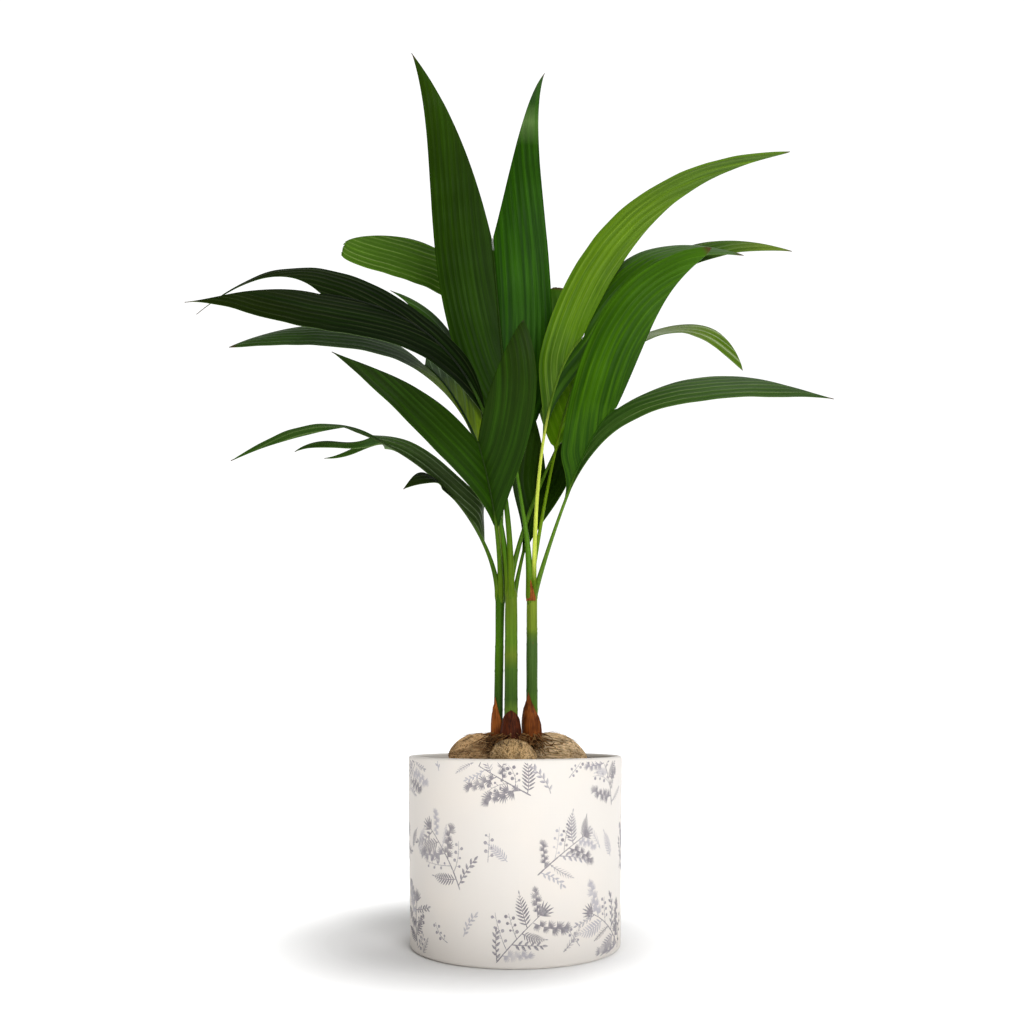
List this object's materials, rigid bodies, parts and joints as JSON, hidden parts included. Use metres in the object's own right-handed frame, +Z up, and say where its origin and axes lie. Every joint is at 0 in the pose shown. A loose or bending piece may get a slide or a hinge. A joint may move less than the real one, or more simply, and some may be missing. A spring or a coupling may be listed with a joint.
{
  "type": "potted betel nut palm",
  "caption": "Young betel nut palm clump with forked pleated fronds on slim ringed stems, grown from nuts lying on compost in a straight round ceramic pot.",
  "frame": {"origin": "centre of the pot's flat underside", "axes": "+Z up the plant, -Y towards the viewer of the picture, +X to the viewer's right"},
  "size_m": [0.563, 0.3339, 0.88],
  "materials": {
    "pot": "satin glaze over a printed pattern",
    "soil": "loose damp compost",
    "nut": "dry fibrous husk",
    "stem": "smooth ringed green stem",
    "scale": "dry papery scale",
    "stalk": "smooth green stalk",
    "leaf": "pleated leaf with a soft gloss"
  },
  "bodies": {
    "root": {"leaf_back_left_left": "leaf", "leaf_back_left_right": "leaf", "leaf_back_right_back": "leaf", "leaf_back_right_right": "leaf", "leaf_bright_lower": "leaf", "leaf_bright_upper": "leaf", "leaf_front_left": "leaf", "leaf_front_right": "leaf", "leaf_left_high_lower": "leaf", "leaf_left_high_upper": "leaf", "leaf_left_low_blade": "leaf", "leaf_left_low_end": "leaf", "leaf_left_low_hanging": "leaf", "leaf_left_low_long": "leaf", "leaf_left_low_short": "leaf", "leaf_left_mid_lower": "leaf", "leaf_left_mid_upper": "leaf", "leaf_low_right_left": "leaf", "leaf_low_right_right": "leaf", "leaf_rear_left": "leaf", "leaf_rear_right": "leaf", "leaf_right_back_back": "leaf", "leaf_right_back_lower": "leaf", "leaf_right_fan_lower": "leaf", "leaf_right_fan_upper": "leaf", "leaf_upright_left": "leaf", "leaf_upright_right": "leaf", "nut_left": "nut", "nut_middle": "nut", "nut_right": "nut", "pot": "pot", "scale_left": "scale", "scale_middle": "scale", "scale_right": "scale", "sheath_right": "scale", "soil": "soil", "stalk_back_left": "stalk", "stalk_back_right": "stalk", "stalk_bright": "stalk", "stalk_front": "stalk", "stalk_left_high": "stalk", "stalk_left_low": "stalk", "stalk_left_mid": "stalk", "stalk_low_right": "stalk", "stalk_rear": "stalk", "stalk_right_back": "stalk", "stalk_right_fan": "stalk", "stalk_upright": "stalk", "stem_left": "stem", "stem_middle": "stem", "stem_right": "stem"}
  },
  "joints": []
}
